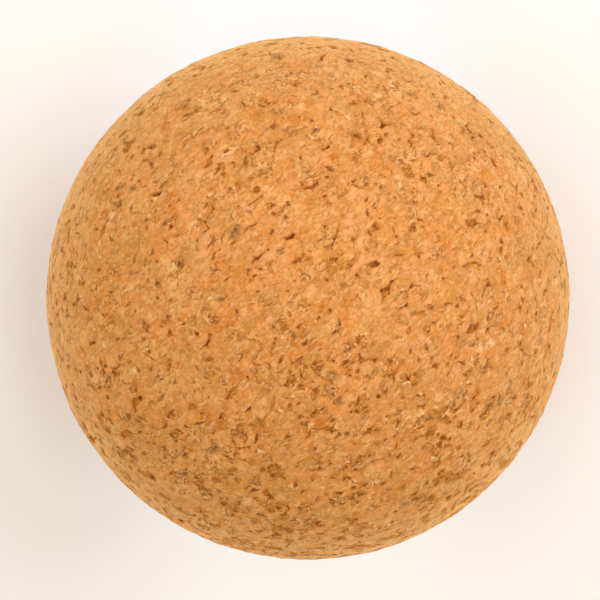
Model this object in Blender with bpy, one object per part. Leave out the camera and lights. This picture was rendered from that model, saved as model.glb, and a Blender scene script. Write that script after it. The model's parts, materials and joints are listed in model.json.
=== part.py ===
"""Agglomerated cork ball for table football, ground to shape from a pressed blank.

The ball is cork granules held together by a thin film of binder. The fine granules and the binder
make one continuous body. The coarse granules that stand out by their colour are solids of their own:
each is bedded in a pocket of the body, with the binder film around it, and is ground flush with the ball.

Units are metres, +Z is up, and the origin is the centre of the ball.
"""

import math
import random
from typing import NamedTuple

import bmesh
import bpy
from mathutils import Quaternion, Vector

MM = 0.001

# Driving dimensions
BALL_DIAMETER = 35.0 * MM
BINDER_FILM = 0.1 * MM  # between a granule and the wall of its pocket
BARK_LENGTH = 1.2 * MM
BARK_WIDTH = 0.7 * MM
BARK_DEPTH = 0.8 * MM
OLIVE_LENGTH = 1.4 * MM
OLIVE_WIDTH = 0.9 * MM
OLIVE_DEPTH = 0.9 * MM
RUST_LENGTH = 1.2 * MM
RUST_WIDTH = 0.8 * MM
RUST_DEPTH = 0.8 * MM
PALE_LENGTH = 1.6 * MM
PALE_WIDTH = 0.9 * MM
PALE_DEPTH = 1.0 * MM

# How many coarse granules of each kind lie in the surface
BARK_COUNT = 16
OLIVE_COUNT = 12
RUST_COUNT = 8
PALE_COUNT = 8

# Facets: the body is an icosahedron divided this often, and a granule has this many sides
BODY_DIVISIONS = 5
GRANULE_SIDES = 8

# A granule's rings from the ground face down: share of its depth, and share of its plan size there
GRANULE_RINGS = ((0.0, 1.0), (0.35, 1.06), (0.75, 0.8), (1.0, 0.42))
OUTLINE_SPREAD = 0.16  # a corner lies up to this share nearer or further than the oval's
CORNER_SMOOTH = 30.0  # edges sharper than this many degrees stay sharp
SHAPE_SEED = 35

GOLDEN_ANGLE = math.pi * (3.0 - math.sqrt(5.0))
CORK_ROUGHNESS = 0.9


class GranuleKind(NamedTuple):
    """One colour of coarse granule, with its size at the ground face and how far it reaches in."""

    name: str
    count: int
    length: float
    width: float
    depth: float
    colour: str


KINDS = (
    GranuleKind("bark_granule", BARK_COUNT, BARK_LENGTH, BARK_WIDTH, BARK_DEPTH, "#7A4A22"),
    GranuleKind("olive_granule", OLIVE_COUNT, OLIVE_LENGTH, OLIVE_WIDTH, OLIVE_DEPTH, "#A07C45"),
    GranuleKind("rust_granule", RUST_COUNT, RUST_LENGTH, RUST_WIDTH, RUST_DEPTH, "#C26A2E"),
    GranuleKind("pale_granule", PALE_COUNT, PALE_LENGTH, PALE_WIDTH, PALE_DEPTH, "#F0B878"),
)
BODY_COLOUR = "#E09752"


def clear_scene():
    for obj in list(bpy.data.objects):
        bpy.data.objects.remove(obj, do_unlink=True)


def linear_colour(hex_colour):
    """An sRGB hex value as linear red, green, blue and alpha."""
    channels = [int(hex_colour[i : i + 2], 16) / 255.0 for i in (1, 3, 5)]
    return [c / 12.92 if c <= 0.04045 else ((c + 0.055) / 1.055) ** 2.4 for c in channels] + [1.0]


def cork_material(name, hex_colour):
    material = bpy.data.materials.new(name)
    material.use_nodes = True
    shader = material.node_tree.nodes["Principled BSDF"]
    shader.inputs["Base Color"].default_value = linear_colour(hex_colour)
    shader.inputs["Roughness"].default_value = CORK_ROUGHNESS
    shader.inputs["Metallic"].default_value = 0.0
    material.diffuse_color = linear_colour(hex_colour)
    return material


def add_object(name, bm, collection, parent):
    """Puts a finished bmesh into the scene as a named object under the ball's centre."""
    bmesh.ops.recalc_face_normals(bm, faces=bm.faces)
    mesh = bpy.data.meshes.new(name)
    bm.to_mesh(mesh)
    bm.free()
    mesh.shade_smooth()
    mesh.set_sharp_from_angle(angle=math.radians(CORNER_SMOOTH))
    obj = bpy.data.objects.new(name, mesh)
    obj.parent = parent
    collection.objects.link(obj)
    return obj


def surface_drop(x, y):
    """How far the ball's surface lies below its tangent plane, at x, y from the point of contact."""
    radius = BALL_DIAMETER / 2.0
    return radius - math.sqrt(radius * radius - x * x - y * y)


def outline_factors(chance):
    """An uneven oval: for each ring and side, how far that corner lies out, as a share of the oval."""
    sides = [1.0 + chance.uniform(-OUTLINE_SPREAD, OUTLINE_SPREAD) for _ in range(GRANULE_SIDES)]
    wobble = OUTLINE_SPREAD / 4.0
    return [[side + chance.uniform(-wobble, wobble) for side in sides] for _ in GRANULE_RINGS]


def ring_points(kind, share, factors, grow):
    """One ring of a granule seen from outside: an oval whose corners follow the factors, grown outwards."""
    points = []
    for side, factor in enumerate(factors):
        angle = math.tau * side / GRANULE_SIDES
        along = (kind.length / 2.0 * share * factor + grow) * math.cos(angle)
        across = (kind.width / 2.0 * share * factor + grow) * math.sin(angle)
        points.append((along, across))
    return points


def granule_rings(kind, factors, grow):
    """The rings of a granule, top to bottom. The first lies on the ball, the others at their depths."""
    rings = []
    for (depth_share, plan_share), ring_factors in zip(GRANULE_RINGS, factors):
        level = -(kind.depth + grow) * depth_share
        rings.append(
            [
                Vector((x, y, level - surface_drop(x, y)))
                for x, y in ring_points(kind, plan_share, ring_factors, grow)
            ]
        )
    return rings


def lofted(rings):
    """A closed solid through rings of equal point counts, with a flat face on the first and the last."""
    bm = bmesh.new()
    loops = [[bm.verts.new(point) for point in ring] for ring in rings]
    for upper, lower in zip(loops, loops[1:]):
        for i in range(len(upper)):
            j = (i + 1) % len(upper)
            bm.faces.new((upper[i], upper[j], lower[j], lower[i]))
    top = bm.faces.new(loops[0])
    bm.faces.new(reversed(loops[-1]))
    return bm, top


def granule_solid(kind, factors):
    """A granule whose top is ground to the ball: its corners and its middle all lie on the surface."""
    bm, top = lofted(granule_rings(kind, factors, 0.0))
    middle = bmesh.ops.poke(bm, faces=[top])["verts"][0]
    middle.co = Vector((0.0, 0.0, 0.0))
    return bm


def pocket_cutter(kind, factors):
    """The granule grown by the binder film, carried straight up past the ball's surface."""
    rings = granule_rings(kind, factors, BINDER_FILM)
    mouth = [Vector((point.x, point.y, kind.depth)) for point in rings[0]]
    bm, _ = lofted([mouth] + rings)
    return bm


def spiral_directions(count):
    """Evenly spread directions: a spiral from pole to pole that turns by the golden angle each step."""
    for i in range(count):
        height = 1.0 - (2.0 * i + 1.0) / count
        reach = math.sqrt(1.0 - height * height)
        turn = i * GOLDEN_ANGLE
        yield Vector((reach * math.cos(turn), reach * math.sin(turn), height))


def place_on_ball(obj, direction, spin):
    """Sets an object's origin on the surface, its +Z out of the ball, turned by spin about that line."""
    obj.location = direction * (BALL_DIAMETER / 2.0)
    obj.rotation_mode = "QUATERNION"
    obj.rotation_quaternion = direction.to_track_quat("Z", "Y") @ Quaternion((0.0, 0.0, 1.0), spin)


def add_granules(parent, pockets):
    """Beds every coarse granule: a solid in the scene, and a cutter for its pocket in the body."""
    chance = random.Random(SHAPE_SEED)
    materials = {kind.name: cork_material(kind.name, kind.colour) for kind in KINDS}
    order = [kind for kind in KINDS for _ in range(kind.count)]
    chance.shuffle(order)
    numbers = dict.fromkeys(materials, 0)
    for kind, direction in zip(order, spiral_directions(len(order))):
        numbers[kind.name] += 1
        name = f"{kind.name}_{numbers[kind.name]:02d}"
        spin = chance.uniform(0.0, math.tau)
        factors = outline_factors(chance)
        granule = add_object(name, granule_solid(kind, factors), bpy.context.scene.collection, parent)
        granule.data.materials.append(materials[kind.name])
        cutter = add_object(name + ".pocket", pocket_cutter(kind, factors), pockets, parent)
        cutter.hide_render = True
        cutter.display_type = "WIRE"
        for obj in (granule, cutter):
            place_on_ball(obj, direction, spin)


def add_body(parent, pockets):
    """The pressed body: a ground sphere with a pocket cut for every coarse granule."""
    bm = bmesh.new()
    bmesh.ops.create_icosphere(bm, subdivisions=BODY_DIVISIONS, radius=BALL_DIAMETER / 2.0)
    body = add_object("cork_body", bm, bpy.context.scene.collection, parent)
    body.data.materials.append(cork_material("cork_body", BODY_COLOUR))
    cut = body.modifiers.new("granule pockets", "BOOLEAN")
    cut.operation = "DIFFERENCE"
    cut.operand_type = "COLLECTION"
    cut.collection = pockets
    cut.solver = "EXACT"
    return body


def main():
    clear_scene()
    centre = bpy.data.objects.new("ball_centre", None)
    bpy.context.scene.collection.objects.link(centre)
    pockets = bpy.data.collections.new("pockets")
    bpy.context.scene.collection.children.link(pockets)
    add_granules(centre, pockets)
    add_body(centre, pockets)


main()
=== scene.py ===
"""Looks of a pressed-cork table-football ball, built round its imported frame.

The skin is what the real ball's is: thousands of flat cork granules, pressed together and ground round.
Each granule is a small closed solid. Most seams between them are shut, and where one is open the darker
binder core shows at the bottom. Slivers of other colours are caught in the seams. Lengths are metres, and
the origin is the centre of the ball.
"""

from __future__ import annotations

import json
import logging
import math
from dataclasses import dataclass, field
from enum import Enum
from typing import Any

import bpy
import numpy as np
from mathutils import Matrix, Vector
from numpy.typing import NDArray

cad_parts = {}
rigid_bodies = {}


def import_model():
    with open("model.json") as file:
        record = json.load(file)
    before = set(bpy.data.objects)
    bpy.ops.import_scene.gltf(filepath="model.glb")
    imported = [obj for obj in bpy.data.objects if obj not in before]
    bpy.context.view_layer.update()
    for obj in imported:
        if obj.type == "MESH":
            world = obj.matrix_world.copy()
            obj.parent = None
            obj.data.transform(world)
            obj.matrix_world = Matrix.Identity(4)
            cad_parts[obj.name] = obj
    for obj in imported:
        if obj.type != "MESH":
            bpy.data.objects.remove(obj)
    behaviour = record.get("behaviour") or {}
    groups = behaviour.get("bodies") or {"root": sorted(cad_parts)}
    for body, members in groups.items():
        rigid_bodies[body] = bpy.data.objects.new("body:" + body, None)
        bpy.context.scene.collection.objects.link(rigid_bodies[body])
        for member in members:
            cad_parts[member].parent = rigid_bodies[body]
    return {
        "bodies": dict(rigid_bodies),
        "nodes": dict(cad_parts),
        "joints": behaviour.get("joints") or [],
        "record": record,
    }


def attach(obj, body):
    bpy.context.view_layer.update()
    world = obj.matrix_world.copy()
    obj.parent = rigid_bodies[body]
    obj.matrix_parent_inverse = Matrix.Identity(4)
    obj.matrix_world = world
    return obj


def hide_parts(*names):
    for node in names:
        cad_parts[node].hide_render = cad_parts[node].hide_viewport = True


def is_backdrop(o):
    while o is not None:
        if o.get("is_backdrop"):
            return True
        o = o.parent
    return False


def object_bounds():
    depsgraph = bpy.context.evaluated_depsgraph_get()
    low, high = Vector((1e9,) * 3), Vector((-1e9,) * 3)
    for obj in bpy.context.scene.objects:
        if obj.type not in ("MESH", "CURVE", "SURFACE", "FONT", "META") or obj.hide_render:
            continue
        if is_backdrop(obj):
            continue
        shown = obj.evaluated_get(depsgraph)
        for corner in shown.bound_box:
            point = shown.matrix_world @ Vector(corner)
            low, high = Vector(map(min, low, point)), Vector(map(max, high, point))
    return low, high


Array = NDArray[np.float64]
Colour = tuple[float, float, float, float]
Index = NDArray[np.int64]
Material = bpy.types.Material
Mesh = bpy.types.Mesh
Object = bpy.types.Object
Socket = bpy.types.NodeSocket
Span = tuple[float, float]
Tree = bpy.types.NodeTree
log = logging.getLogger("cork_ball")

MM = 0.001
GOLDEN_ANGLE = math.pi * (3.0 - math.sqrt(5.0))

# The photograph's frame, in pixels: its width, and where the ball's outline lies in it
PHOTO_WIDTH = 600
BALL_COLUMN, BALL_ROW, BALL_REACH = 308.0, 298.0, 262.0

# The blank was pressed along this line, of length one, so granules lie flat across it
PRESS_AXIS = np.array([-1.0, 1.0, 0.15]) / math.sqrt(2.0225)
# A hair's breadth off it, so that the direction along the surface is settled at its ends too
PRESS_LINE = PRESS_AXIS + np.array([0.31, 0.27, 0.91]) * 1e-4

# More and larger slivers show towards this side, which lies low in the camera's view
FLECK_SIDE = np.array([0.25, -1.3, 0.0])

# Sockets of the Mix node for colours
MIX_A, MIX_B, MIX_OUT = 6, 7, 2


class Shade(Enum):
    """The colours that the cork granules come in."""

    HONEY = "honey_granules"
    TAN = "tan_granules"
    AMBER = "amber_granules"
    OCHRE = "ochre_granules"
    RUST = "rust_granules"
    OLIVE = "olive_granules"
    PALE = "pale_granules"
    BARK = "bark_granules"


def linear(hex_colour: str) -> Colour:
    """Turns an sRGB value of six hex digits after a hash sign into linear red, green, blue and alpha."""
    srgb = np.array([int(hex_colour[i : i + 2], 16) for i in (1, 3, 5)]) / 255.0
    low, high = srgb / 12.92, ((srgb + 0.055) / 1.055) ** 2.4
    return (*np.where(srgb <= 0.04045, low, high).tolist(), 1.0)


def feed(tree: Tree, node: bpy.types.Node, inputs: dict | tuple) -> None:
    """Sets a node's inputs, given in order or by name or number. Another node's output is linked."""
    for socket, value in inputs.items() if isinstance(inputs, dict) else enumerate(inputs):
        if isinstance(value, Socket):
            tree.links.new(value, node.inputs[socket])
        else:
            node.inputs[socket].default_value = value


def add_node(tree: Tree, kind: str, inputs: dict | tuple, output: int | str = 0, **settings: Any) -> Socket:
    """Adds a shader node.

    Args:
        tree: the node tree that gets it.
        kind: Blender's name for the node's type, after the word ShaderNode.
        inputs: what it is fed.
        output: name or number of the output that is wanted.
        settings: the node's own properties.

    Returns:
        That output of the new node.
    """
    node = tree.nodes.new("ShaderNode" + kind)
    for name, value in settings.items():
        setattr(node, name, value)
    feed(tree, node, inputs)
    return node.outputs[output]


def maths(tree: Tree, operation: str, *values: Socket | float, clamp: bool = False) -> Socket:
    """Adds a node that reckons with numbers."""
    return add_node(tree, "Math", values, operation=operation, use_clamp=clamp)


def mixed(tree: Tree, share: Socket, under: Socket | Colour, over: Colour) -> Socket:
    """Adds a node that lays a share of one colour over another."""
    tints = {0: share, MIX_A: under, MIX_B: over}
    return add_node(tree, "Mix", tints, MIX_OUT, data_type="RGBA")


def add_object(name: str, data: bpy.types.ID) -> Object:
    """Puts a mesh, lamp or camera into the scene as a new object."""
    added = bpy.data.objects.new(name, data)
    bpy.context.scene.collection.objects.link(added)
    return added


def unit(vectors: Array) -> Array:
    """The vectors, each divided by its length."""
    return vectors / np.linalg.norm(vectors, axis=-1, keepdims=True)


def circle(angle: Array) -> Array:
    """The points of a circle of radius one at these angles, as cosine and sine, last."""
    return np.stack([np.cos(angle), np.sin(angle)], axis=-1)


def angles(count: int) -> Array:
    """As many angles, which divide a full turn evenly."""
    return np.arange(count) * math.tau / count


def bounded_normal(chance: np.random.Generator, shape: int | tuple[int, ...], limit: float) -> Array:
    """Normal random numbers, none further from zero than a limit."""
    return chance.normal(size=shape).clip(-limit, limit)


@dataclass(frozen=True)
class WaveNoise:
    """Smooth noise: a sum of plane waves of random direction and phase, all near one wavelength."""

    wavelength: float
    seed: int
    waves: int = 28
    frequencies: Span = (0.65, 1.5)  # least and most, as shares of the wavelength's own

    def at(self, points: Array, channels: int = 1) -> Array:
        """Sums amplitude times sin(wave vector . point + phase) over the waves.

        Args:
            points: places, with x, y, z last.
            channels: how many independent values each place gets.

        Returns:
            Values with a mean of zero and a spread of one, with the channels last.
        """
        chance = np.random.default_rng(self.seed)
        vectors = unit(chance.normal(size=(self.waves, 3))) * math.tau / self.wavelength
        vectors *= chance.uniform(*self.frequencies, (self.waves, 1))
        phases = chance.uniform(0.0, math.tau, self.waves)
        amplitudes = chance.normal(size=(self.waves, channels))
        return np.sin(points @ vectors.T + phases) @ amplitudes / math.sqrt(self.waves / 2.0)


@dataclass(frozen=True)
class Unevenness:
    """Noises that add up, each with its reach."""

    layers: tuple[tuple[WaveNoise, float], ...]

    def at(self, points: Array, channels: int) -> Array:
        """The sum of the noises at each point, with the channels last."""
        return sum(noise.at(points, channels) * reach for noise, reach in self.layers)


# Bends the granules' outlines along the surface
WARP = Unevenness(((WaveNoise(0.9 * MM, 11), 0.07 * MM), (WaveNoise(0.32 * MM, 12), 0.04 * MM)))
# Lets the ground skin rise and fall, because hard and soft granules wear unevenly
SKIN = Unevenness(((WaveNoise(4.5 * MM, 51), 0.012 * MM), (WaveNoise(1.3 * MM, 52), 0.012 * MM)))


@dataclass(frozen=True)
class CorkNoises:
    """The node outputs that a cork finish is drawn from."""

    grain: Socket  # inside a granule
    swirl: Socket  # what fibres follow
    patches: Socket  # where rims and fibres show
    crowd: Socket  # how thick fibres lie, over wider places


@dataclass(frozen=True)
class FibreLine:
    """Thin curved lines where the swirl lies near a level, broken off where the patches are high."""

    level: float
    half_width: float  # in the swirl's own measure
    fade: Span  # values of the patches at which a line is gone, and whole

    def share(self, tree: Tree, noises: CorkNoises, amount: float) -> Socket:
        """How much of the lines' colour a point takes. The amount is what it takes in a line's middle."""
        away = maths(tree, "ABSOLUTE", maths(tree, "SUBTRACT", noises.swirl, self.level))
        band = (away, 0.0, self.half_width, amount, 0.0)
        share = add_node(tree, "MapRange", band, interpolation_type="SMOOTHSTEP")
        shown = add_node(tree, "MapRange", (noises.patches, *self.fade))
        for factor in (shown, noises.crowd):
            share = maths(tree, "MULTIPLY", share, factor)
        return share


# The dark line is partly the cork's own dark streak and partly painted shade, as in a groove. The pale line
# beside it is a painted highlight, as on a lit ridge
DARK_AND_SHADE_LINE = FibreLine(0.45, 0.115, (0.53, 0.42))
HIGHLIGHT_LINE = FibreLine(0.57, 0.095, (0.58, 0.46))


@dataclass(frozen=True)
class CorkFinish:
    """Ground cork granules of one colour: matt, with a soft bloom at grazing angles from torn cell walls.

    The tone attribute picks a colour between dark and light for each granule, the edge attribute runs it
    into its neighbours at the rim, and the attribute for the binder's brown brings it in on its sides, more
    of it deeper down: partly binder, partly painted shade in the seams. Blotches and short curved lines of
    the fibres break up its face: the dark lines are partly painted shade and the pale lines painted
    highlights. Spans are values of the noises.
    """

    name: str
    dark: str
    light: str
    rim: str = "#DA9046"
    # The binder's brown, which grows down a granule's sides: partly binder, partly painted shade in the
    # seams
    binder: str = "#A45E1C"
    fibre_and_shade: str = "#9C5510"
    ridge_highlight: str = "#FCC484"
    grain_mm: float = 0.26
    contrast: float = 1.4
    swirl_share: float = 0.5
    blotch_span: Span = (0.45, 1.05)
    rim_mm: float = 0.7
    soak_span: Span = (0.3, 0.5)
    soak_least: float = 0.5
    fibre_mm: float = 0.6
    fibre_press: float = 1.65  # how much finer grain and fibres are along the pressing line
    fibre_and_shade_amount: float = 0.42
    highlight_amount: float = 0.22
    crowd_mm: float = 2.2
    crowd_span: Span = (0.36, 0.64)
    crowd_range: Span = (0.4, 1.6)
    roughness: float = 0.88
    specular: float = 0.05
    sheen: float = 1.0
    sheen_roughness: float = 0.4
    sheen_tint: str = "#FFCF90"
    bump_mm: float = 0.035

    def material(self) -> Material:
        """Builds a node material that reads Object coordinates and the tone, edge and binder-brown
        attributes.
        """
        material = bpy.data.materials.new(self.name)
        material.use_nodes = True
        tree = material.node_tree
        noises = self.noises(tree)
        tone, edge, stain = (
            add_node(tree, "Attribute", (), "Fac", attribute_name=name)
            for name in ("tone", "edge", "stain")
        )
        # Blotches inside a granule move its own tone
        both = maths(tree, "MULTIPLY_ADD", noises.swirl, self.swirl_share, noises.grain)
        half = 0.5 * self.contrast
        shift = add_node(tree, "MapRange", (both, *self.blotch_span, -half, half))
        level = maths(tree, "ADD", tone, shift, clamp=True)
        # Rims are soaked with binder, here more and there less, so that neighbours run into each other
        soak = add_node(tree, "MapRange", (noises.patches, *self.soak_span, self.soak_least))
        rim = maths(tree, "MULTIPLY", edge, soak)
        # Painted shade and painted highlight: the dark lines are darkened like grooves, and the pale lines
        # beside them are lightened like lit ridges, besides their bump
        sunk = DARK_AND_SHADE_LINE.share(tree, noises, self.fibre_and_shade_amount)
        raised_highlight = HIGHLIGHT_LINE.share(tree, noises, self.highlight_amount)

        colour = linear(self.dark)
        # Over the tone go the rim colour, the dark lines' partly painted shade, the pale lines' painted
        # highlight, and the binder's brown, partly painted shade down the sides
        for share, over in (
            (level, self.light),
            (rim, self.rim),
            (sunk, self.fibre_and_shade),
            (raised_highlight, self.ridge_highlight),
            (stain, self.binder),
        ):
            colour = mixed(tree, share, colour, linear(over))
        height = maths(tree, "ADD", maths(tree, "SUBTRACT", noises.grain, sunk), raised_highlight)
        relief = {"Height": height, "Distance": self.bump_mm * MM, "Strength": 1.0}
        surface = {
            "Base Color": colour,
            "Normal": add_node(tree, "Bump", relief),
            "Roughness": self.roughness,
            "Specular IOR Level": self.specular,
            "Sheen Weight": self.sheen,
            "Sheen Roughness": self.sheen_roughness,
            "Sheen Tint": linear(self.sheen_tint),
        }
        feed(tree, tree.nodes["Principled BSDF"], surface)
        return material

    def noises(self, tree: Tree) -> CorkNoises:
        """Adds the noises. Grain and swirl are pressed flat along the pressing line, like the granules."""
        place = add_node(tree, "TexCoord", (), "Object")
        turn = Vector((1.0, 0.0, 0.0)).rotation_difference(Vector(PRESS_AXIS)).to_euler()
        pressed = {"Vector": place, "Rotation": tuple(turn), "Scale": (1.0 / self.fibre_press, 1.0, 1.0)}
        laid = add_node(tree, "Mapping", pressed, vector_type="TEXTURE")
        # Real cork cells are hundredths of a millimetre wide. The grain is drawn coarser, so that it shows
        grain, swirl, patches, crowd = (
            add_node(tree, "TexNoise", {"Vector": vector, "Scale": 1.0 / (size_mm * MM), **details})
            for vector, size_mm, details in (
                (laid, self.grain_mm, {"Detail": 0.4}),
                (laid, self.fibre_mm, {"Detail": 1.0, "Roughness": 0.5, "Distortion": 0.8}),
                (place, self.rim_mm, {"Detail": 1.0}),
                (place, self.crowd_mm, {"Detail": 1.0}),
            )
        )
        thick = add_node(tree, "MapRange", (crowd, *self.crowd_span, *self.crowd_range))
        return CorkNoises(grain, swirl, patches, thick)


# What brown cork from near the bark has in common: coarser mottling, stronger painted highlight lines and
# less bloom
BROWN = {"grain_mm": 0.32, "highlight_amount": 0.36, "sheen": 0.6}
# Ground cork. Grinding tears its cells open, so it is matt, with a pale bloom towards the ball's edge
FINISHES = {
    # Clean cork in four close tones, which give the ball its warm, slightly mottled ground
    Shade.HONEY: CorkFinish("ground_cork_honey", "#D48D40", "#F6B46F"),
    Shade.TAN: CorkFinish("ground_cork_tan", "#D18940", "#F1AB6D"),
    Shade.AMBER: CorkFinish("ground_cork_amber", "#D28033", "#F5A763"),
    Shade.OCHRE: CorkFinish("ground_cork_ochre", "#C2813A", "#E8A966"),
    # Cork with tannin in it: small foxy spots
    Shade.RUST: CorkFinish("ground_cork_rust", "#C0681F", "#E6923F", grain_mm=0.34, contrast=1.6),
    # Weathered cork: dull brown slivers that seem soft at their edges
    Shade.OLIVE: CorkFinish("ground_cork_olive", "#7A481E", "#CA8E55", contrast=1.6, **BROWN),
    # Pale cork, young with thin walls, and partly painted highlights: pale glints beside the dark slivers
    Shade.PALE: CorkFinish("ground_cork_pale", "#EAA65E", "#FDCA90", sheen=0.6),
    # Bark: dark brown marks, broken up by their streaks, and partly painted shade that stands in for small
    # pits
    Shade.BARK: CorkFinish(
        "ground_cork_bark", "#7A3808", "#CC8034", contrast=1.7, sheen_tint="#F0A858", **BROWN
    ),
}
# The cured binder with the finest cork dust in it: brown, and in the shade of the seams
BINDER = CorkFinish("cured_binder", "#80400C", "#CE8030", grain_mm=0.42, sheen=0.0)


def ring_faces(rings: int, sides: int) -> tuple[Index, Index, Index]:
    """Numbers the corners of one closed solid: a fan, bands of quads between rings, and a fan.

    Args:
        rings: how many rings lie between the two middle points.
        sides: points in a ring.

    Returns:
        Corners of the first fan, of the bands and of the last fan, all seen from outside.
    """
    side = np.arange(sides)
    after = (side + 1) % sides
    first = np.stack([np.zeros_like(side), side + 1, after + 1], axis=1)
    start = 1 + sides * np.arange(rings - 1)[:, None]
    bands = np.stack([start + side, start + sides + side, start + sides + after, start + after], axis=-1)
    base = 1 + sides * (rings - 1)
    last = np.stack([np.full_like(side, 1 + sides * rings), base + after, base + side], axis=1)
    return first, bands.reshape(-1, 4), last


DISC_RINGS = (0.76, 0.93)  # where a solid's first and last ring lie on a disc of radius one
DISC_REACH = 0.47  # that disc's radius, as a share of its square in the UV map
SHARP_ANGLE = math.radians(22.0)  # sharper edges aren't smoothed


@dataclass
class Solids:
    """Closed solids of one make: a middle point, rings of sides from the top down, and a middle point."""

    points: Array  # solid, point, and x, y, z
    rings: int
    sides: int
    values: dict[str, Array]  # for each name, a number at every point of every solid

    def corners(self) -> tuple[Index, Index]:
        """Numbers the corners of all the solids.

        Returns:
            The point number of every corner, face by face, and the number of corners of every face.
        """
        count, per_solid, _ = self.points.shape
        first, bands, last = ring_faces(self.rings, self.sides)
        one = np.concatenate([first.ravel(), bands.ravel(), last.ravel()])
        sizes = np.concatenate([np.full(self.sides, 3), np.full(len(bands), 4), np.full(self.sides, 3)])
        return (np.arange(count)[:, None] * per_solid + one).ravel(), np.tile(sizes, count)

    def disc(self) -> Array:
        """Lays one solid out flat, corner by corner, on a disc of radius one.

        A ring lies on its own circle, and the last fan's middle is drawn outwards between its sides, so no
        two faces share a place.

        Returns:
            Two coordinates for each corner, in the order of corners().
        """
        step = math.tau / self.sides
        reach = np.linspace(*DISC_RINGS, self.rings).repeat(self.sides)
        turn = np.tile(np.arange(self.sides), self.rings) * step
        middle = np.zeros((1, 2))
        flat = np.concatenate([middle, reach[:, None] * circle(turn), middle])
        first, bands, last = ring_faces(self.rings, self.sides)
        outer = flat[last]
        outer[:, 0] = circle((np.arange(self.sides) + 0.5) * step)
        return np.concatenate([corners.reshape(-1, 2) for corners in (flat[first], flat[bands], outer)])


def solid_mesh(name: str, sets: list[Solids]) -> Mesh:
    """Puts sets of solids into one mesh, with their values as attributes and a UV map of one disc for each.

    Args:
        name: the mesh's name.
        sets: the solids. All sets have values of the same names.

    Returns:
        The mesh.
    """
    grid = math.ceil(math.sqrt(sum(len(part.points) for part in sets)))
    corners, sizes, atlas, points_before, solids_before = [], [], [], 0, 0
    for part in sets:
        numbers, faces = part.corners()
        corners.append(numbers + points_before)
        sizes.append(faces)
        number = np.arange(len(part.points)) + solids_before
        centre = (np.stack([number % grid, number // grid], axis=1) + 0.5) / grid
        atlas.append((centre[:, None] + part.disc()[None] * (DISC_REACH / grid)).reshape(-1, 2))
        points_before += part.points.shape[0] * part.points.shape[1]
        solids_before += len(part.points)
    corner, size = np.concatenate(corners), np.concatenate(sizes)
    mesh = bpy.data.meshes.new(name)
    mesh.vertices.add(points_before)
    points = np.concatenate([part.points.reshape(-1, 3) for part in sets])
    mesh.vertices.foreach_set("co", points.astype(np.float32).ravel())
    mesh.loops.add(len(corner))
    mesh.loops.foreach_set("vertex_index", corner.astype(np.int32))
    mesh.polygons.add(len(size))
    starts = np.concatenate([[0], np.cumsum(size)[:-1]])
    mesh.polygons.foreach_set("loop_start", starts.astype(np.int32))
    mesh.update(calc_edges=True)
    layer = mesh.uv_layers.new(name="OFBake")
    layer.uv.foreach_set("vector", np.concatenate(atlas).astype(np.float32).ravel())
    for key in sets[0].values:
        numbers = np.concatenate([part.values[key].ravel() for part in sets])
        mesh.attributes.new(key, "FLOAT", "POINT").data.foreach_set("value", numbers.astype(np.float32))
    mesh.shade_smooth()
    mesh.set_sharp_from_angle(angle=SHARP_ANGLE)
    return mesh


@dataclass(frozen=True)
class RingProfile:
    """A granule's depth, and its rings from the top down.

    For each ring: its share of the outline and of the depth, then how much of the common rim colour and of
    the binder's brown it takes. The brown grows down the sides: partly binder, partly painted shade.
    """

    depth: float
    share: tuple[float, ...]
    drop: tuple[float, ...]
    edge: tuple[float, ...]
    stain: tuple[float, ...]


# Down each side the binder's brown grows from the rim to the bottom: partly binder in the seams, partly
# painted shade
GRANULE_RINGS = RingProfile(
    0.34 * MM, (0.8, 1.0, 1.16), drop=(0.0, 0.06, 1.0), edge=(0.5, 1.0, 1.0), stain=(0.0, 0.08, 1.0)
)
COARSE_RINGS = RingProfile(
    0.3 * MM,
    (0.4, 0.7, 0.9, 1.0, 1.16),
    drop=(0.0, 0.0, 0.02, 0.06, 1.0),
    edge=(0.15, 0.45, 0.8, 1.0, 1.0),
    stain=(0.0, 0.0, 0.02, 0.08, 1.0),
)
SLIVER_RINGS = RingProfile(
    0.16 * MM, (0.5, 1.0, 1.1), drop=(0.0, 0.05, 1.0), edge=(0.12, 0.84, 1.0), stain=(0.0, 0.0, 1.0)
)


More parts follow.
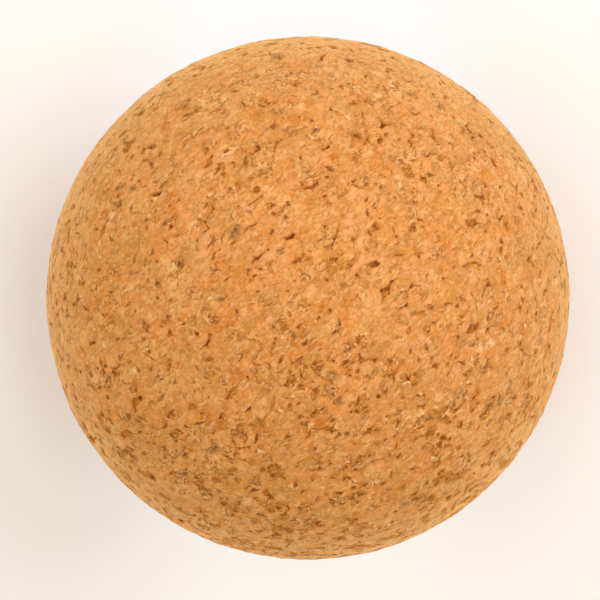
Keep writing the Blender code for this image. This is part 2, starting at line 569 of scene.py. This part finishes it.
@dataclass
class Chips:
    """A set of granules: outlines on the ball, as rays from each one's middle in its own tangent frame."""

    normal: Array
    along: Array
    across: Array
    outline: Array  # granule, side, and the two tangent coordinates
    sunk: Array  # how far the top lies below the ball
    tilt: Array
    tone: Array
    hollow: Array  # how much of the rim's colour shows in the middle
    fade: Array  # how the rim's colour grows across the face, in the two tangent coordinates

    def picked(self, chosen: Array) -> Chips:
        """The granules that a mask or a list of numbers names."""
        return Chips(**{name: values[chosen] for name, values in vars(self).items()})

    def clear_of(self, others: Chips, radius: float) -> Chips:
        """Leaves out the granules whose middle lies on one of the others, within that one's mean reach."""
        reach = np.linalg.norm(others.outline, axis=-1).mean(axis=1)
        apart = np.arccos(np.clip(self.normal @ others.normal.T, -1.0, 1.0)) * radius
        return self.picked((apart > reach).all(axis=1))

    def solids(self, radius: float, rings: RingProfile, warp: Unevenness | None = None) -> Solids:
        """Works out every granule's points: the top's middle, rings from the top down, the bottom's middle.

        A point at (a, b) in the tangent frame lies in the direction normal * radius + a * along +
        b * across, at the ball's radius less what the granule is sunk, its tilt there and its ring's
        depth, on the rise and fall of the skin, and never outside the ball.

        Args:
            radius: the ball's radius.
            rings: the rings that each granule is made of.
            warp: what bends the outlines along the surface.

        Returns:
            The granules as solids with their tone, edge and binder brown, which is partly painted shade.
        """
        count, sides, _ = self.outline.shape
        share = np.array(rings.share)
        middle = np.zeros((count, 1, 2))
        flat = (self.outline[:, None] * share[None, :, None, None]).reshape(count, -1, 2)
        flat = np.concatenate([middle, flat, middle], axis=1)
        drop = rings.depth * np.concatenate([[0.0], np.repeat(rings.drop, sides), [1.0]])
        lean = np.einsum("npk,nk->np", flat, self.tilt)
        ray = self.normal[:, None] * radius
        ray = ray + flat[..., :1] * self.along[:, None] + flat[..., 1:] * self.across[:, None]
        if warp is not None:
            ray = ray + warp.at(ray, 3)
        ray = unit(ray)
        height = radius - self.sunk[:, None] - drop + lean + SKIN.at(ray * radius, 1)[..., 0]
        points = ray * np.minimum(height, radius)[..., None]
        fade = self.fade @ circle(angles(sides)).T
        edge = np.array(rings.edge)[:, None] + fade[:, None] * share[:, None]
        edge = edge.reshape(count, -1).clip(0.0, 1.0)
        values = {
            "edge": np.concatenate([self.hollow[:, None], edge, np.ones((count, 1))], axis=1),
            "stain": np.tile(np.concatenate([[0.0], np.repeat(rings.stain, sides), [1.0]]), (count, 1)),
            "tone": np.broadcast_to(self.tone[:, None], points.shape[:2]),
        }
        return Solids(points, len(rings.share), sides, values)


def tangent_frames(normal: Array) -> tuple[Array, Array]:
    """Two directions along the surface at each place: with the pressing line, and square to it."""
    along = unit(PRESS_LINE - (normal @ PRESS_LINE)[:, None] * normal)
    return along, np.cross(normal, along)


def fleck_side_share(normal: Array) -> Array:
    """How far each place lies towards the side with more slivers, from none to one."""
    return np.clip(normal @ FLECK_SIDE, 0.0, 1.0)


def nearest(points: Array, count: int, block: int = 1024) -> Index:
    """The numbers of each point's nearest others, by a table of squared distances made in blocks.

    Args:
        points: places.
        count: how many others to find.
        block: how many rows of the table are made at a time.

    Returns:
        An array of point and neighbour.
    """
    found = []
    square = (points**2).sum(axis=1)
    for start in range(0, len(points), block):
        rows = np.arange(start, min(start + block, len(points)))
        table = square[rows, None] + square[None] - 2.0 * points[rows] @ points.T
        table[np.arange(len(rows)), rows] = np.inf
        found.append(np.argpartition(table, count, axis=1)[:, :count])
    return np.concatenate(found)


@dataclass
class GranuleMosaic:
    """The granules that fill the surface: cells round scattered sites, flattened along the pressing line.

    Small cells along the seams are left empty. They are the pits that grinding tears out.
    """

    radius: float
    count: int = 8600
    flatness: float = 1.5
    jitter: float = 0.42
    size_spread: float = 0.22
    overlap: float = 0.11 * MM
    ragged: float = 0.07
    ray_limits: Span = (0.15, 1.1)  # least and most of a cell's reach, in spacings
    facing_least: float = 0.1  # cosine past which a neighbour no longer bounds a ray
    cell_neighbours: int = 20
    pit_count: int = 70
    pit_half_width: float = 0.04 * MM
    pit_spread: float = 0.55
    pit_limits: Span = (0.3, 2.6)
    top: float = 0.05 * MM
    top_spread: float = 0.008 * MM
    tilt_spread: float = 0.015
    tone_spread: float = 0.13
    seed: int = 7
    sides: int = 14
    cloud: WaveNoise = WaveNoise(5.0 * MM, 23)
    cloud_tone: float = 0.13
    cloud_pull: float = 0.5
    cluster: WaveNoise = WaveNoise(1.7 * MM, 29)
    cluster_pull: float = 1.3
    fleck_side_pull: float = 1.35
    seam_neighbours: int = 6
    seam_choice: float = 1.3
    seam_slide: float = 0.2  # in spacings
    normal: Array = field(init=False)
    size: Array = field(init=False)
    neighbour: Index = field(init=False)

    def __post_init__(self) -> None:
        """Scatters the sites: a golden spiral from pole to pole, each moved at random along the surface."""
        chance = np.random.default_rng(self.seed)
        step = np.arange(self.count) + 0.5
        height = 1.0 - 2.0 * step / self.count
        reach = np.sqrt(1.0 - height**2)
        turn = step * GOLDEN_ANGLE
        spiral = np.stack([reach * np.cos(turn), reach * np.sin(turn), height], axis=1)
        shift = chance.normal(size=spiral.shape) * self.spacing / self.radius * self.jitter
        self.normal = unit(spiral + shift)
        self.size = chance.uniform(-1.0, 1.0, self.count) * self.size_spread * self.spacing**2
        self.neighbour = nearest(self.pressed(self.normal), self.seam_neighbours)

    @property
    def spacing(self) -> float:
        """The side of a square with a granule's mean area."""
        return self.radius * math.sqrt(4.0 * math.pi / self.count)

    def pressed(self, normal: Array) -> Array:
        """The places on the ball, drawn out along the pressing line so that flat granules become round."""
        sites = normal * self.radius
        return sites + (self.flatness - 1.0) * (sites @ PRESS_AXIS)[:, None] * PRESS_AXIS

    def crowding(self, normal: Array) -> Array:
        """How likely pits and slivers are: e to a sum of clusters, broad patches and the side with more
        slivers.
        """
        sites = normal * self.radius
        patches = self.cluster_pull * self.cluster.at(sites) + self.cloud_pull * self.cloud.at(sites)
        return np.exp(patches[:, 0] + self.fleck_side_pull * fleck_side_share(normal))

    def local(self, normal: Array, others: Array) -> tuple[Array, ...]:
        """Lays the way from each place to its others into its tangent frame, stretched like pressed().

        Args:
            normal: outward directions of the places.
            others: outward directions, several for each place.

        Returns:
            The two directions of each place's frame, how far it is stretched, and the two coordinates of
            each way.
        """
        along, across = tangent_frames(normal)
        stretch = np.sqrt(1.0 + (self.flatness**2 - 1.0) * (1.0 - (normal @ PRESS_AXIS) ** 2))
        gap = (others - normal[:, None]) * self.radius
        a = np.einsum("nkx,nx->nk", gap, along) * stretch[:, None]
        b = np.einsum("nkx,nx->nk", gap, across)
        return along, across, stretch, a, b

    def seams(self, count: int, chance: np.random.Generator) -> tuple[Array, Array]:
        """Draws places on the seams between granules, more on those that lie across the pressing line.

        Args:
            count: how many.
            chance: the source of random numbers.

        Returns:
            Outward directions of the places, and the directions along the seams there.
        """
        weight = self.crowding(self.normal)
        first = chance.choice(self.count, count, p=weight / weight.sum())
        others = self.neighbour[first]
        along, across, stretch, a, b = self.local(self.normal[first], self.normal[others])
        distance = np.hypot(a, b)
        best = (np.abs(a) / distance + chance.uniform(0.0, self.seam_choice, a.shape)).argmax(axis=1)
        row = np.arange(count)
        a, b, distance = a[row, best], b[row, best], distance[row, best]
        reach = (distance**2 + self.size[first] - self.size[others[row, best]]) / (2.0 * distance)
        slide = chance.normal(size=count) * self.seam_slide * self.spacing
        out = (a * reach - b * slide) / distance / stretch
        side = (b * reach + a * slide) / distance
        place = self.normal[first] * self.radius + out[:, None] * along + side[:, None] * across
        lying = (-b / stretch)[:, None] * along + a[:, None] * across
        return unit(place), unit(lying)

    def chips(self) -> Chips:
        """Works out every cell.

        In the tangent frame, stretched by the flatness along the pressing line, a cell's ray at angle t is
        the least, over the neighbours, of reach / cos(t - bearing). The reach is half the distance, moved
        towards the smaller of the two, and a little over where the other cell holds a granule too.

        Returns:
            The granules, one for each site that isn't a pit.
        """
        chance, count = np.random.default_rng(self.seed + 1), self.count
        pits, _ = self.seams(self.pit_count, chance)
        normal = np.concatenate([self.normal, pits])
        neighbour = nearest(self.pressed(normal), self.cell_neighbours)
        along, across, stretch, a, b = self.local(normal, normal[neighbour])
        distance, bearing = np.hypot(a, b), np.arctan2(b, a)

        # A pit's size is set so that it ends this far from its middle towards the nearest granule
        size = np.concatenate([self.size, np.zeros(self.pit_count)])
        to_granule = np.where(neighbour < count, distance, np.inf)
        closest = to_granule.argmin(axis=1)
        pick = np.arange(len(normal))
        spread = np.exp(self.pit_spread * chance.normal(size=len(normal))).clip(*self.pit_limits)
        width = self.pit_half_width * spread
        near = to_granule[pick, closest]
        pit_size = size[neighbour[pick, closest]] - near**2 + 2.0 * near * width
        size[count:] = pit_size[count:]

        reach = (distance**2 + size[:, None] - size[neighbour]) / (2.0 * distance)
        reach = np.where(neighbour < count, reach + self.overlap, reach)[:count]
        angle = angles(self.sides)
        facing = np.cos(angle[None, None] - bearing[:count, :, None])
        rays = reach[..., None] / np.maximum(facing, self.facing_least)
        rays = np.where(facing > self.facing_least, rays, np.inf).min(axis=1)
        rays *= 1.0 + self.ragged * bounded_normal(chance, rays.shape, 2.0)
        rays = np.clip(rays, *(share * self.spacing for share in self.ray_limits))
        flat = np.stack([1.0 / stretch[:count], np.ones(count)], axis=1)
        cloud = self.cloud.at(self.normal * self.radius)[:, 0]
        return Chips(
            normal=self.normal,
            along=along[:count],
            across=across[:count],
            outline=rays[..., None] * circle(angle) * flat[:, None],
            sunk=self.top + self.top_spread * bounded_normal(chance, count, 2.0),
            tilt=self.tilt_spread * bounded_normal(chance, (count, 2), 1.5),
            tone=0.5 + self.tone_spread * chance.normal(size=count) + self.cloud_tone * cloud,
            hollow=np.zeros(count),
            fade=np.zeros((count, 2)),
        )


@dataclass
class CoarseGranules:
    """The coarse granules of one colour, in the places and with the outlines of the frame's solids."""

    radius: float
    prefix: str
    nodes: dict[str, Object]
    sides: int = 16
    top: float = 0.034 * MM
    tone_spread: float = 0.25
    skin: float = 0.03 * MM  # a solid's points this near the ball's surface are its top
    middle: float = 0.15 * MM  # and those of them this near its centre aren't its rim

    def names(self) -> list[str]:
        """The frame's nodes of this colour."""
        return sorted(name for name in self.nodes if name.startswith(self.prefix))

    def outline(self, name: str, angle: Array) -> tuple[Array, Array]:
        """Reads one node's outline: the rim of its top, as its reach over the angle round the middle.

        Args:
            name: the node.
            angle: the angles to read it at.

        Returns:
            The outward direction of its middle, and the two tangent coordinates at each angle.
        """
        mesh = self.nodes[name].data
        points = np.empty(len(mesh.vertices) * 3)
        mesh.vertices.foreach_get("co", points)
        points = points.reshape(-1, 3)
        top = points[np.linalg.norm(points, axis=1) > self.radius - self.skin]
        # The node's triangles are loose, so the points that they share count once
        normal = unit(np.unique(top.round(7), axis=0).mean(axis=0))
        along, across = (directions[0] for directions in tangent_frames(normal[None]))
        flat = np.stack([top @ along, top @ across], axis=1)
        rim = flat[np.linalg.norm(flat, axis=1) > self.middle]
        bearing = np.arctan2(rim[:, 1], rim[:, 0])
        order = np.argsort(bearing)
        reach = np.linalg.norm(rim, axis=1)[order]
        reach = np.interp(angle, bearing[order], reach, period=math.tau)
        return normal, reach[:, None] * circle(angle)

    def chips(self) -> Chips:
        """Makes one granule for each node."""
        angle = angles(self.sides)
        normal, outline = map(np.array, zip(*(self.outline(name, angle) for name in self.names())))
        count = len(normal)
        chance = np.random.default_rng(count)
        return Chips(
            normal,
            *tangent_frames(normal),
            outline,
            sunk=np.full(count, self.top),
            tilt=np.zeros((count, 2)),
            tone=0.5 + self.tone_spread * chance.normal(size=count),
            hollow=np.zeros(count),
            fade=np.zeros((count, 2)),
        )


@dataclass
class SeamFlecks:
    """Slivers caught in the seams between granules, each lying along its seam."""

    mosaic: GranuleMosaic
    count: int
    length: float
    width: float
    seed: int
    spread: float = 0.5
    spread_limit: float = 1.6
    fleck_side_growth: float = 0.32
    ragged: float = 0.22
    turn: float = 0.7
    sides: int = 6
    top: float = 0.034 * MM
    tilt_spread: float = 0.03
    tone_spread: float = 0.3
    hollow_range: Span = (-0.5, 0.75)  # below none there is no paler middle
    fade_spread: float = 0.32

    def chips(self) -> Chips:
        """Draws seams at random and lays an uneven oval along each, turned a little out of it.

        A ray at angle t is 1 / sqrt((cos t / half length)^2 + (sin t / half width)^2), times an uneven
        factor.
        """
        chance = np.random.default_rng(self.seed)
        mosaic = self.mosaic
        normal, lying = mosaic.seams(self.count, chance)
        normal = unit(normal * mosaic.radius + WARP.at(normal * mosaic.radius, 3))
        lying = unit(lying - np.einsum("nx,nx->n", lying, normal)[:, None] * normal)
        turn = self.turn * chance.normal(size=(self.count, 1))
        lying = np.cos(turn) * lying + np.sin(turn) * np.cross(normal, lying)
        angle = angles(self.sides)
        size = np.exp(self.spread * bounded_normal(chance, (self.count, 2), self.spread_limit))
        size *= (1.0 + self.fleck_side_growth * fleck_side_share(normal))[:, None]
        half = 0.5 * size * np.array([self.length, self.width])
        rays = 1.0 / np.hypot(np.cos(angle) / half[:, :1], np.sin(angle) / half[:, 1:])
        rays *= 1.0 + self.ragged * bounded_normal(chance, rays.shape, 1.8)
        return Chips(
            normal=normal,
            along=lying,
            across=np.cross(normal, lying),
            outline=rays[..., None] * circle(angle),
            sunk=np.full(self.count, self.top),
            tilt=self.tilt_spread * bounded_normal(chance, (self.count, 2), 1.5),
            tone=0.5 + self.tone_spread * chance.normal(size=self.count),
            hollow=chance.uniform(*self.hollow_range, self.count).clip(0.0),
            fade=self.fade_spread * bounded_normal(chance, (self.count, 2), 1.8),
        )


@dataclass
class BinderCore:
    """The bonded mass under the granules, seen only at the bottom of open seams."""

    radius: float
    sunk: float = 0.19 * MM
    noise: WaveNoise = WaveNoise(2.0 * MM, 41)
    relief: float = 0.025 * MM
    tone_spread: float = 0.25
    rings: int = 127
    sides: int = 256

    def mesh(self) -> Mesh:
        """Makes a closed sphere by latitude and longitude, roughened by noise along its radius."""
        tilt = np.linspace(0.0, math.pi, self.rings + 2)[1:-1, None]
        turn = angles(self.sides)[None]
        parts = np.sin(tilt) * np.cos(turn), np.sin(tilt) * np.sin(turn), np.cos(tilt)
        ring = np.stack(np.broadcast_arrays(*parts), axis=-1)
        poles = np.array([[0.0, 0.0, 1.0], [0.0, 0.0, -1.0]])
        ray = np.concatenate([poles[:1], ring.reshape(-1, 3), poles[1:]])
        uneven = self.noise.at(ray * self.radius)[:, :1].clip(-2.0, 2.0)
        points = ray * (self.radius - self.sunk + self.relief * uneven)
        none = np.zeros((1, len(points)))
        values = {"edge": none, "stain": none, "tone": 0.5 + self.tone_spread * uneven.T}
        return solid_mesh("binder_core", [Solids(points[None], self.rings, self.sides, values)])


@dataclass
class CorkBall:
    """The whole ball: binder core, mosaic, coarse granules and what is caught in the seams."""

    frame: dict[str, Any]
    radius: float
    shade_seed: int = 3
    patch_lean: float = 0.9

    # Share of the mosaic that each colour takes, in the order of Shade
    SHARES = dict(zip(Shade, (0.245, 0.255, 0.245, 0.205, 0.012, 0.012, 0.018, 0.008)))
    # Colours that take each other's place from patch to patch
    PATCHES = {
        (Shade.AMBER, Shade.TAN): WaveNoise(4.0 * MM, 61),
        (Shade.OCHRE, Shade.HONEY): WaveNoise(3.0 * MM, 62),
    }
    # Colours that have coarse granules in the frame, with the start of their nodes' names
    COARSE = {
        Shade.RUST: "rust_granule",
        Shade.OLIVE: "olive_granule",
        Shade.PALE: "pale_granule",
        Shade.BARK: "bark_granule",
    }

    def build(self) -> None:
        """Makes every piece, dresses it and sets it on the frame."""
        mosaic = GranuleMosaic(self.radius)
        cells, drawn = mosaic.chips(), self.drawn(mosaic)
        flecks = {
            # The bark slivers are partly painted shade, in place of small pits in the seams
            Shade.BARK: SeamFlecks(mosaic, 4800, 0.49 * MM, 0.28 * MM, 31, spread=0.6, turn=0.9),
            Shade.OLIVE: SeamFlecks(mosaic, 1300, 0.54 * MM, 0.28 * MM, 33),
            # The pale slivers are partly painted highlights in the seams
            Shade.PALE: SeamFlecks(mosaic, 2500, 0.32 * MM, 0.17 * MM, 32),
            Shade.RUST: SeamFlecks(mosaic, 450, 0.36 * MM, 0.22 * MM, 34),
        }
        coarse = {
            shade: CoarseGranules(self.radius, prefix, self.frame["nodes"])
            for shade, prefix in self.COARSE.items()
        }
        bedded = {shade: kind.chips() for shade, kind in coarse.items()}
        for number, shade in enumerate(self.SHARES):
            sets = [cells.picked(drawn == number).solids(self.radius, GRANULE_RINGS, WARP)]
            slot, replaced = "cork_body", []
            if shade in coarse:
                slot, replaced = self.COARSE[shade], coarse[shade].names()
                slivers = flecks[shade].chips()
                for others in bedded.values():
                    slivers = slivers.clear_of(others, self.radius)
                sets.append(bedded[shade].solids(self.radius, COARSE_RINGS))
                sets.append(slivers.solids(self.radius, SLIVER_RINGS))
            mesh = solid_mesh(shade.value, sets)
            self.set_on_frame(mesh, FINISHES[shade].material(), replaced)
        self.set_on_frame(BinderCore(self.radius).mesh(), BINDER.material(), ["cork_body"])

    def drawn(self, mosaic: GranuleMosaic) -> Index:
        """Draws a colour for each granule, with some colours more common in some patches.

        A colour's odds are its share times e to the power of its lean times a noise of the patches.

        Args:
            mosaic: the granules.

        Returns:
            The number of each granule's colour in SHARES.
        """
        chance = np.random.default_rng(self.shade_seed)
        shades = list(self.SHARES)
        odds = np.tile(list(self.SHARES.values()), (mosaic.count, 1))
        for (more, less), noise in self.PATCHES.items():
            lean = self.patch_lean * noise.at(mosaic.normal * self.radius)[:, 0]
            odds[:, shades.index(more)] *= np.exp(lean)
            odds[:, shades.index(less)] *= np.exp(-lean)
        below = np.cumsum(odds, axis=1) / odds.sum(axis=1, keepdims=True)
        return (chance.uniform(size=(mosaic.count, 1)) > below[:, :-1]).sum(axis=1)

    def set_on_frame(self, mesh: Mesh, finish: Material, replaced: list[str]) -> None:
        """Args:
            mesh: its shape, which has the piece's name.
            finish: its material.
            replaced: the frame's nodes that it stands for.
        """
        piece = add_object(mesh.name, mesh)
        mesh.materials.append(finish)
        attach(piece, "root")
        if replaced:
            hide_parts(*replaced)
        log.info("%s: %d faces, stands for %d nodes", piece.name, len(mesh.polygons), len(replaced))


@dataclass(frozen=True)
class SoftLight:
    """A square soft lamp that faces the ball: where it hangs, its side, its watts and its colour."""

    name: str
    place: tuple[float, float, float]
    size: float
    power: float
    tint: str

    def hang(self) -> None:
        """Puts the lamp into the scene, unseen by the camera."""
        lamp = bpy.data.lights.new(self.name, "AREA")
        lamp.size = self.size
        lamp.energy = self.power
        lamp.color = linear(self.tint)[:3]
        holder = add_object(self.name, lamp)
        holder.location = self.place
        holder.rotation_euler = (-Vector(self.place)).to_track_quat("-Z", "Y").to_euler()
        holder.visible_camera = False


@dataclass
class Studio:
    """White paper, soft light from a window on the upper right, and a camera straight above the ball.

    Reaches on the paper are in radii of the ball.
    """

    radius: float
    distance: float = 0.4
    sensor: float = 36.0
    clip_start: float = 0.01
    lights: tuple[SoftLight, ...] = (
        SoftLight("window", (0.56, 0.20, 0.58), 0.5, 1.76, "#F4F8FF"),
        SoftLight("ceiling", (0.0, 0.0, 0.9), 0.5, 3.0, "#FFFDFA"),
    )
    backdrop: str = "#FFFCF5"
    sky_front: str = "#FFF5DE"
    sky_back: str = "#FAFDFF"
    sky_level: float = 0.62
    sky_lean: float = 0.44  # how much stronger the room is towards the back, as a share
    floor_reach: float = 0.6
    floor: str = "#FBF7F2"
    floor_roughness: float = 0.9
    floor_specular: float = 0.1
    white_front: str = "#FFF9F1"
    white_back: str = "#FFFFFF"
    oval_reach: Span = (0.78, 2.5)  # across and along the view
    oval_fade: Span = (0.5, 1.5)  # in reaches of the oval
    oval_white: float = 0.85
    back_fade: Span = (0.5, 1.5)
    back_white: float = 0.6
    shade_fade: Span = (0.45, 1.03)

    def build(self) -> None:
        """Makes the stage, the lights and the camera."""
        self.add_floor()
        for light in self.lights:
            light.hang()
        self.add_sky()
        self.add_camera()
        bpy.context.scene.view_settings.view_transform = "Standard"

    def add_floor(self) -> None:
        """Lays a flat square sheet under the ball."""
        far, low = self.floor_reach, -self.radius
        corners = [(-far, -far, low), (far, -far, low), (far, far, low), (-far, far, low)]
        mesh = bpy.data.meshes.new("floor")
        mesh.from_pydata(corners, [], [(0, 1, 2, 3)])
        mesh.materials.append(self.paper())
        floor = add_object("floor", mesh)
        floor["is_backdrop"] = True

    def paper(self) -> Material:
        """Makes the floor's matt paper, which the camera sees as white where the photograph does."""
        material = bpy.data.materials.new("matt_paper")
        material.use_nodes = True
        tree = material.node_tree
        shader = tree.nodes["Principled BSDF"]
        matt = {"Roughness": self.floor_roughness, "Specular IOR Level": self.floor_specular}
        feed(tree, shader, {"Base Color": linear(self.floor), **matt})
        place = add_node(tree, "TexCoord", (), "Object")
        depth = add_node(tree, "SeparateXYZ", (place,), "Y")
        # Painted light: where this share is high, the camera sees a white glow, warmer in front, in place
        # of the lit paper and its shade
        share = maths(tree, "MULTIPLY", self.painted_white_share(tree, place, depth), self.sight(tree))
        back = add_node(tree, "MapRange", (depth, -self.radius, self.radius))
        tint = mixed(tree, back, linear(self.white_front), linear(self.white_back))
        painted_glow = add_node(tree, "Emission", {"Color": tint, "Strength": 1.0})
        both = add_node(tree, "MixShader", (share, shader.outputs[0], painted_glow))
        feed(tree, tree.nodes["Material Output"], {"Surface": both})
        return material

    def painted_white_share(self, tree: Tree, place: Socket, depth: Socket) -> Socket:
        """Works out where painted light covers the paper: a white glow in front of the ball, and behind it.

        Beside the ball it keeps its shade, and under the ball the whole shadow.

        Args:
            tree: the paper's node tree.
            place: the place on the paper.
            depth: how far it lies towards the back.

        Returns:
            None for paper as it is lit, up to one for white.
        """
        away = []
        for reaches in (self.oval_reach, (1.0, 1.0)):
            scale = (*(1.0 / (share * self.radius) for share in reaches), 0.0)
            flat = add_node(tree, "VectorMath", (place, scale), operation="MULTIPLY")
            away.append(add_node(tree, "VectorMath", (flat,), "Value", operation="LENGTH"))
        near, far = (share * self.radius for share in self.back_fade)
        oval, behind, clear = (
            add_node(tree, "MapRange", fade, interpolation_type="SMOOTHSTEP")
            for fade in (
                (away[0], *self.oval_fade, self.oval_white, 0.0),
                (depth, near, far, 0.0, self.back_white),
                (away[1], *self.shade_fade, 0.0, 1.0),
            )
        )
        return maths(tree, "MULTIPLY", maths(tree, "MAXIMUM", oval, behind), clear)

    def add_sky(self) -> None:
        """Fills the room with light, warmer in front, and shows a pale backdrop past the floor's edge."""
        world = bpy.data.worlds.new("room")
        bpy.context.scene.world = world
        world.use_nodes = True
        tree = world.node_tree
        lit = tree.nodes["Background"]
        way = add_node(tree, "TexCoord", (), "Generated")
        slope = (0.0, self.sky_lean, 0.0)
        lean = add_node(tree, "VectorMath", (way, slope), "Value", operation="DOT_PRODUCT")
        level = maths(tree, "MULTIPLY_ADD", lean, self.sky_level, self.sky_level)
        back = add_node(tree, "MapRange", (lean, -self.sky_lean, self.sky_lean))
        tint = mixed(tree, back, linear(self.sky_front), linear(self.sky_back))
        feed(tree, lit, {"Color": tint, "Strength": level})
        seen = add_node(tree, "Background", {"Color": linear(self.backdrop), "Strength": 1.0})
        both = add_node(tree, "MixShader", (self.sight(tree), lit.outputs[0], seen))
        feed(tree, tree.nodes["World Output"], {"Surface": both})

    def sight(self, tree: Tree) -> Socket:
        """Tells sight from light: one for rays from the camera and those that gloss or glass sends on."""
        camera, glossy, glass = (
            add_node(tree, "LightPath", (), f"Is {kind} Ray")
            for kind in ("Camera", "Glossy", "Transmission")
        )
        return maths(tree, "MAXIMUM", camera, maths(tree, "MAXIMUM", glossy, glass))

    def add_camera(self) -> None:
        """Sets the camera straight above, so that the outline has its place and size in the photograph."""
        half_frame = PHOTO_WIDTH / 2.0
        edge = math.tan(math.asin(self.radius / self.distance))
        data = bpy.data.cameras.new("camera")
        data.sensor_width = self.sensor
        data.lens = self.sensor / 2.0 / (edge * half_frame / BALL_REACH)
        data.clip_start = self.clip_start
        camera = add_object("camera", data)
        pixel = edge * self.distance / BALL_REACH
        right, up = (half_frame - BALL_COLUMN) * pixel, (BALL_ROW - half_frame) * pixel
        camera.location = (right, up, self.distance)
        bpy.context.scene.camera = camera


def main() -> None:
    """Builds the ball round its frame, then the studio."""
    logging.basicConfig(level=logging.INFO, format="%(name)s: %(message)s")
    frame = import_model()
    cad_box = [list(corner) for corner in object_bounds()]
    radius = (cad_box[1][2] - cad_box[0][2]) / 2.0
    CorkBall(frame, radius).build()
    Studio(radius).build()


if __name__ == "__main__":
    main()
